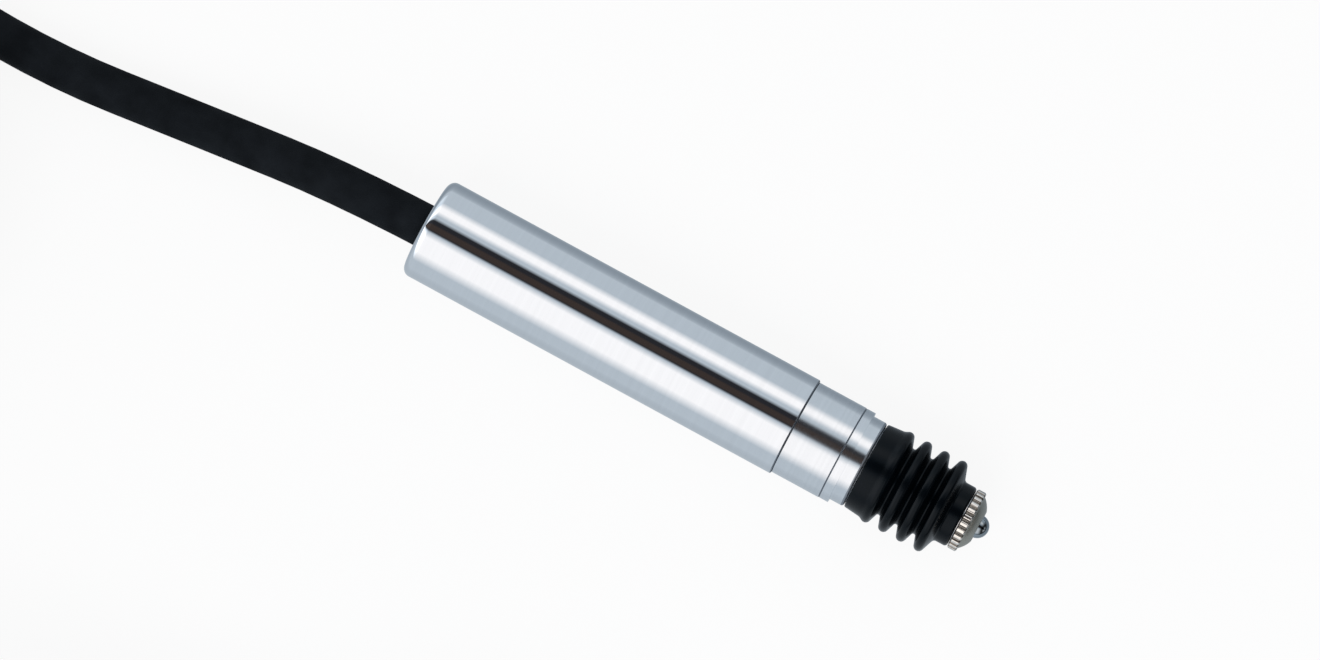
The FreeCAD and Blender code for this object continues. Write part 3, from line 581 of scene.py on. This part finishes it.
def bellows_inside():
    """The bellows' hollow: from the front cuff's bore, with its bead, back to the rear cuff's bore."""
    bead = 1.57
    bead_start = 45.47
    bead_end = 45.93
    line = [(bead_end, FRONT_GRIP_R), (bead_end, bead), (bead_start, bead), (bead_start, FRONT_GRIP_R),
            (FOLDS_END, FRONT_GRIP_R)]
    for middle in reversed(CRESTS):
        line += [(middle, CREST_R - BELLOWS_WALL), (middle - HALF_FOLD, VALLEY_R - BELLOWS_WALL)]
    line[-1] = (FOLDS_START, REAR_GRIP_R)
    return line + [(BELLOWS_START, REAR_GRIP_R)]


def bellows():
    """Moulded bellows: rounded crests, tight valleys, a cuff at each end and a thin wall."""
    sections = [(0, bellows_outside()), (0, bellows_inside())]
    piece = lathe("bellows", sections, PROBE, ["bellows_rubber"], segments=224)
    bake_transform(piece)
    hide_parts("bellows")


def contact_tip():
    """Screw-in tip: knurled disc, convex dome and the hole that holds the ball."""
    bevel = 0.1
    depth = 0.17
    bevel_depth = depth * 0.8
    stud_start = 41.29
    stud = 1.25
    root = 2.2
    crown = 1.27
    bulge_height = 0.075
    face_edge = root + 0.06
    # The ball's hole: its radius, how far its wall's end is from the ball's middle, and its bottom as points
    # (back from the wall's end, radius)
    hole = 0.9
    wall_to_ball = 0.97
    bottom = [(0.0, 0.88), (0.3, 0.5), (0.42, 0.0)]
    wall_end = OVERALL - BALL_R - math.sqrt(wall_to_ball ** 2 - hole ** 2)
    points_per_tooth = 12
    sections = [
        (0, [(stud_start, 0.0), (stud_start, stud - bevel), (stud_start + bevel, stud)]),
        (0, [(TIP_START, stud)]),
        (0, [(TIP_START, KNURL_R - bevel - depth)]),
        (0, [(TIP_START, KNURL_R - bevel, bevel_depth)]),
        (0, [(TIP_START + bevel, KNURL_R, depth)]),
        (0, [(DOME_START - bevel, KNURL_R, depth)]),
        (0, [(DOME_START, KNURL_R - bevel, bevel_depth)]),
        (1, [(DOME_START, face_edge)]),
        (1, [*bulge((DOME_START, root), (DOME_END, crown), bulge_height), (DOME_END, hole)]),
        (1, [(wall_end - back, radius) for back, radius in bottom])]
    # The knurl's gaps get the painted groove shade as material 2.
    piece = lathe("contact_tip_turned", sections, PROBE, ["knurled_nickel", "satin_nickel", "painted_groove_shade"],
                  segments=KNURL_TEETH * points_per_tooth, gap_shade_material=2)
    add_part(piece, "plunger", "knurled_nickel", "contact_tip")


def contact_ball():
    """Hard polished ball."""
    half_circle = arc((OVERALL - BALL_R, 0.0), BALL_R, 180, 0, steps=64)
    line = [(along, max(0.0, radius)) for along, radius in half_circle]
    piece = lathe("measuring_ball", [(0, line)], PROBE, ["carbide"], segments=128)
    add_part(piece, "plunger", "carbide", "contact_ball")


def return_spring():
    """Round-wire spring of four turns between its two seats."""
    rear_seat = 19.2
    front_seat = 24.3
    wire = 0.175
    seating = 0.02
    start = rear_seat + wire + seating
    end = front_seat - wire - seating
    coil = 2.0
    turns = 4
    steps = 48
    sides = 12
    build = bmesh.new()
    rings = []
    for step in range(turns * steps + 1):
        angle = 2 * math.pi * step / steps
        share = step / (turns * steps)
        out = Vector((0.0, math.sin(angle), math.cos(angle)))
        centre = PROBE + Vector((start + (end - start) * share, 0, 0)) + coil * out
        ring = []
        for side in range(sides):
            around = 2 * math.pi * side / sides
            offset = wire * (math.cos(around) * out + math.sin(around) * Vector((1, 0, 0)))
            ring.append(build.verts.new((centre + offset) * MM))
        rings.append(ring)
    for first, second in zip(rings, rings[1:]):
        join_rings(build, first, second)
    build.faces.new(rings[0])
    build.faces.new(list(reversed(rings[-1])))
    piece = add_mesh("spring", build, ["spring_steel"])
    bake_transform(piece)
    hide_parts("return_spring")


# Plug

def plug_boot():
    """Soft ribbed boot that the cable goes into."""
    bore = 1.72
    tail = 2.8
    shoulder = 4.1
    slope = (shoulder - tail) / COVER_START
    grooves = 4
    pitch = 1.7
    width = 0.85
    depth = 0.5
    tail_round = 0.25
    rib_round = 0.16
    groove_round = 0.1
    corners = [(0.0, bore), (0.0, tail)]
    radii = [tail_round]
    for groove in range(1, grooves + 1):
        start = pitch * groove
        first = tail + slope * start
        second = first + slope * width
        end = start + width
        corners += [(start, first), (start, first - depth), (end, first - depth), (end, second)]
        radii += [rib_round, groove_round, groove_round, rib_round]
    corners += [(COVER_START, shoulder), (COVER_START, BOOT_NECK_R), (BOOT_END, BOOT_NECK_R),
                (BOOT_END, bore)]
    radii += [groove_round, 0.0, 0.0]
    sections = [(0, rounded(corners, radii)), (0, [(0.0, bore)])]
    piece = lathe("boot", sections, PLUG, ["cable_rubber"], segments=128)
    return add_part(piece, "housing", "cable_rubber", "plug_boot")


def plug_cover():
    """Metal cover with round grip grooves."""
    mouth = 31.0
    cone_start = 5.0
    cone_end = 12.0
    outside = 7.5
    bore = 6.61
    grooves = 4
    pitch = 2.0
    width = 1.0
    flank = 0.12
    bottom = 7.15
    rear_round = 0.3
    cone_round = 0.8
    groove_round = 0.08
    mouth_round = 0.35
    bore_round = 0.1
    corners = [(COVER_START, BOOT_NECK_R), (COVER_START, cone_start), (cone_end, outside)]
    for groove in range(grooves):
        start = BOOT_END + pitch * groove
        end = start + width
        corners += [(start, outside), (start + flank, bottom), (end - flank, bottom), (end, outside)]
    corners += [(mouth, outside), (mouth, bore), (BOOT_END, bore), (BOOT_END, BOOT_NECK_R)]
    radii = [rear_round, cone_round] + [groove_round] * 4 * grooves + [mouth_round, bore_round, 0.0]
    sections = [(0, rounded(corners, radii)), (0, [(COVER_START, BOOT_NECK_R)])]
    piece = lathe("cover", sections, PLUG, ["plug_metal"], segments=192)
    return add_part(piece, "housing", "plug_metal", "plug_cover")


# Cable

def ease(share):
    """Smooth step from 0 to 1."""
    share = min(1.0, max(0.0, share))
    return share * share * (3 - 2 * share)


def coil_points():
    """Control points of the coil: four rows of four turns, wound inwards and outwards by turns."""
    points = []
    for angle in range(0, COIL_SWEEP + 1, STEP_ANGLE):
        lane = LANES - 1.0
        row = 0.0
        for turn in range(1, LANES * LANES):
            level = (turn - 1) // LANES
            if turn % LANES == 0:
                start = turn * TURN - SHIFT - STAGGER * (2 * level + 1)
                row += ease((angle - start) / SHIFT)
            else:
                start = turn * TURN - SHIFT - STAGGER * 2 * level
                lane += ease((angle - start) / SHIFT) * (-1 if level % 2 == 0 else 1)
        radius = (COIL_RADIUS + (lane - (LANES - 1) / 2) * LANE_PITCH) * CORNER_SCALE
        around = math.radians(LEAD_ANGLE + angle)
        points.append((COIL_CENTRE[0] + radius * math.cos(around),
                       COIL_CENTRE[1] + radius * math.sin(around), CABLE_R + row * LANE_PITCH))
    return points


def cable(plug_pieces):
    """The cable: one smooth line from the probe through the coil to the plug."""
    points = [CABLE_START] + LEAD_POINTS + coil_points() + TAIL_POINTS + [CABLE_END]
    curve = bpy.data.curves.new("cable", "CURVE")
    curve.dimensions = "3D"
    curve.bevel_depth = CABLE_R * MM
    curve.bevel_resolution = 10
    curve.resolution_u = 6
    curve.use_fill_caps = True
    spline = curve.splines.new("NURBS")
    spline.points.add(len(points) - 1)
    for point, place in zip(spline.points, points):
        point.co = (*(Vector(place) * MM), 1.0)
    spline.order_u = 3
    spline.use_endpoint_u = True
    curve.materials.append(MATERIALS["cable_jacket"])
    piece = add_object("cable", curve)
    add_part(piece, "housing", "cable_jacket", "cable_lead", "cable_coil", "cable_tail")
    piece.visible_glossy = False
    for part in plug_pieces:
        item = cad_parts[part] if isinstance(part, str) else part
        item.visible_glossy = False


# Nodes whose shape is right keep it and get their material.

NODE_MATERIALS = {
    "plunger": "ground_steel", "guide_bush": "ground_steel", "bearing_balls": "ground_steel",
    "anti_rotation_pin": "ground_steel", "ball_cage": "cage_brass", "stop_cup": "turned_steel",
    "core_rod": "rod_brass", "ferrite_core": "ferrite", "coil_former": "former_plastic",
    "rear_winding": "copper_wire", "front_winding": "copper_wire", "magnetic_shield": "shield_alloy",
    "solder_board": "board", "lead_wires": "copper_wire", "cable_grommet": "cable_rubber",
    "clamp_ferrule": "plug_metal", "plug_shield": "plug_metal", "plug_insert": "plug_plastic",
    "plug_pins": "pin_metal",
}


def dress_nodes():
    """Materials of the carried-over nodes."""
    for name, material in NODE_MATERIALS.items():
        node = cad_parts[name]
        node.data.materials.clear()
        node.data.materials.append(MATERIALS[material])


# Camera: the lens and the sensor are in millimetres, and the rest is in metres

VIEW_TURN = math.radians(28.69)
VIEW_HEIGHT = math.radians(84.0)
LENS = 300.0
SENSOR = 36.0
FRAME_WIDTH = 0.100
AIM_RIGHT = -0.003541
AIM_UP = 0.003693


def camera():
    """A long lens above the probe, turned so that the probe runs down to the right."""
    back = Vector((math.sin(VIEW_TURN) * math.cos(VIEW_HEIGHT),
                   -math.cos(VIEW_TURN) * math.cos(VIEW_HEIGHT), math.sin(VIEW_HEIGHT)))
    right = Vector((math.cos(VIEW_TURN), math.sin(VIEW_TURN), 0.0))
    up = back.cross(right)
    target = Vector((0.0, 0.0, AXIS_Z * MM)) + right * AIM_RIGHT + up * AIM_UP
    data = bpy.data.cameras.new("camera")
    data.lens = LENS
    data.sensor_width = SENSOR
    data.sensor_fit = "HORIZONTAL"
    data.clip_start = 0.01
    data.clip_end = 20.0
    item = add_object("camera", data)
    place = target + back * FRAME_WIDTH * LENS / SENSOR
    item.matrix_world = Matrix.Translation(place) @ Matrix((right, up, back)).transposed().to_4x4()
    bpy.context.scene.camera = item


# The studio that the metal mirrors: soft boxes and grey walls, and overhead the dark gap with the brownish
# camera rig in its middle
SOFT_BOX = (1.55, 1.47, 1.42)
WALL = (0.72, 0.78, 0.83)
GAP = (0.03, 0.03, 0.035)
RIG = (0.065, 0.047, 0.04)
# Which shade stands at which angle from straight up towards +Y, in degrees
SKY = [
    (-90, WALL), (-66, SOFT_BOX), (-26, SOFT_BOX), (-14, WALL), (-9.5, GAP), (-6, RIG), (3, RIG), (7, GAP),
    (14, GAP), (21, WALL), (26, WALL), (37, SOFT_BOX), (47, SOFT_BOX), (61, WALL),
]
# The room's level by how far a direction points along X: bright behind the probe, dark beyond its tip, and
# lighter again at the far wall
ENDS = [(-0.6, 1.5), (-0.2, 1.0), (0.5, 1.0), (0.8, 0.05), (0.9, 0.05), (0.98, 0.6)]
# The ramps' colours are kept under 1: they are divided by this number, and multiplied by it again afterwards.
RAMP_TOP = 2.0
# The even light on matt surfaces, and what the camera sees behind everything
ROOM_LIGHT = (0.62, 0.62, 0.62, 1.0)
WHITE = (1.0, 1.0, 1.0, 1.0)


def mixed(tree, share, first, second):
    """The first colour, or by its share the second one."""
    node = tree.nodes.new("ShaderNodeMix")
    node.data_type = "RGBA"
    feed(tree, share, node.inputs["Factor"])
    feed(tree, first, node.inputs[6])
    feed(tree, second, node.inputs[7])
    return node.outputs[2]


def sky_colour(tree, direction):
    """The studio's stripes, by a direction's angle about X."""
    angle = calculated(tree, "ARCTAN2", direction.outputs["Y"], direction.outputs["Z"])
    share = remapped(tree, angle, -math.pi, math.pi)
    stops = [((degrees + 180) / 360, [channel / RAMP_TOP for channel in shade]) for degrees, shade in SKY]
    return scaled(tree, ramped(tree, share, stops), RAMP_TOP)


def end_level(tree, direction):
    """The studio's level, by how far a direction points along X."""
    share = remapped(tree, direction.outputs["X"], -1.0, 1.0)
    stops = [((place + 1) / 2, (level / RAMP_TOP,) * 3) for place, level in ENDS]
    return calculated(tree, "MULTIPLY", ramped(tree, share, stops), RAMP_TOP)


def room():
    """World: white to the camera, plain and even to matt surfaces, a striped studio to mirrors."""
    world = bpy.data.worlds.new("room")
    bpy.context.scene.world = world
    world.use_nodes = True
    tree = world.node_tree
    coordinates = add_node(tree, "ShaderNodeTexCoord").outputs["Generated"]
    direction = add_node(tree, "ShaderNodeSeparateXYZ", Vector=coordinates)
    sky = sky_colour(tree, direction)
    studio = scaled(tree, sky, end_level(tree, direction))
    rays = add_node(tree, "ShaderNodeLightPath")
    lit = mixed(tree, rays.outputs["Is Glossy Ray"], ROOM_LIGHT, studio)
    seen = mixed(tree, rays.outputs["Is Camera Ray"], lit, WHITE)
    feed(tree, seen, tree.nodes["Background"].inputs["Color"])


def soft_lamp():
    """A large soft lamp from the near side."""
    place = Vector((0.0, -0.5, 0.6))
    data = bpy.data.lights.new("soft_lamp", "AREA")
    data.shape = "SQUARE"
    data.size = 0.5
    data.energy = 3.1
    item = add_object("soft_lamp", data)
    item.location = place
    item.rotation_euler = (-place).to_track_quat("-Z", "Y").to_euler()
    item.visible_glossy = False
    item.visible_camera = False


FLOOR_HALF = 3.0
FLOOR_COLOUR = (0.82, 0.83, 0.85, 1.0)
# How much of the floor is its own white light to the camera
FLOOR_GLOW = 0.9
# The floor that the metal mirrors, in millimetres: its shades by their place along Y, with a painted shadow
# darkest a little beyond the stem, out to how far they go both ways, and the stretch along X over which
# painted shade darkens it beyond the tip, and how dark
# Painted shadow of the probe on the floor, as the metal mirrors it
PAINTED_FLOOR_SHADOW = (0.34, 0.39, 0.44)
GROUND = [(-14, WALL), (8, PAINTED_FLOOR_SHADOW), (35, WALL)]
GROUND_REACH = 60.0
DARK_FLOOR_FROM = 40.0
DARK_FLOOR_TO = 50.0
DARK_FLOOR_SHARE = 0.1


def mirrored_floor_painted_shade(tree):
    """The floor's shade in mirrors, as an emission: a painted shadow darkest a little beyond the stem, and
    painted shade past the tip.
    """
    coordinates = add_node(tree, "ShaderNodeTexCoord").outputs["Object"]
    place = add_node(tree, "ShaderNodeSeparateXYZ", Vector=coordinates)
    across = remapped(tree, place.outputs["Y"], -GROUND_REACH * MM, GROUND_REACH * MM)
    shade = ramped(tree, across, [((y + GROUND_REACH) / (2 * GROUND_REACH), colour) for y, colour in GROUND])
    past_tip = remapped(tree, place.outputs["X"], DARK_FLOOR_FROM * MM, DARK_FLOOR_TO * MM, 1.0,
                        DARK_FLOOR_SHARE)
    return scaled(tree, shade, past_tip)


def mixed_shader(tree, share, first, second):
    """The first shader, or by its share the second one."""
    node = add_node(tree, "ShaderNodeMixShader", Fac=share)
    feed(tree, first, node.inputs[1])
    feed(tree, second, node.inputs[2])
    return node.outputs["Shader"]


def floor():
    """Pale floor: its own light brings it to white for the camera and leaves a faint shadow."""
    mesh = bpy.data.meshes.new("floor")
    corners = [(-FLOOR_HALF, -FLOOR_HALF, 0), (FLOOR_HALF, -FLOOR_HALF, 0), (FLOOR_HALF, FLOOR_HALF, 0),
               (-FLOOR_HALF, FLOOR_HALF, 0)]
    mesh.from_pydata(corners, [], [(0, 1, 2, 3)])
    item = add_object("floor", mesh)
    material = bpy.data.materials.new("floor")
    material.use_nodes = True
    tree = material.node_tree
    tree.nodes.remove(tree.nodes["Principled BSDF"])
    rays = add_node(tree, "ShaderNodeLightPath")
    matt = add_node(tree, "ShaderNodeBsdfDiffuse", Color=FLOOR_COLOUR).outputs["BSDF"]
    glow = add_node(tree, "ShaderNodeEmission", Color=WHITE, Strength=1.0).outputs["Emission"]
    share = calculated(tree, "MULTIPLY", rays.outputs["Is Camera Ray"], FLOOR_GLOW)
    shown = mixed_shader(tree, share, matt, glow)
    # To mirrors the floor glows with its painted shades and painted shadow instead of being lit.
    mirrored = add_node(tree, "ShaderNodeEmission", Color=mirrored_floor_painted_shade(tree)).outputs["Emission"]
    surface = mixed_shader(tree, rays.outputs["Is Glossy Ray"], shown, mirrored)
    feed(tree, surface, tree.nodes["Material Output"].inputs["Surface"])
    mesh.materials.append(material)


camera()
boot = plug_boot()
cover = plug_cover()
cable([boot, cover, "plug_shield", "plug_insert", "plug_pins"])
housing_tube()
front_sleeve()
nose_cap()
bellows()
contact_tip()
contact_ball()
return_spring()
dress_nodes()
room()
soft_lamp()
floor()
bpy.context.scene.view_settings.view_transform = "Standard"
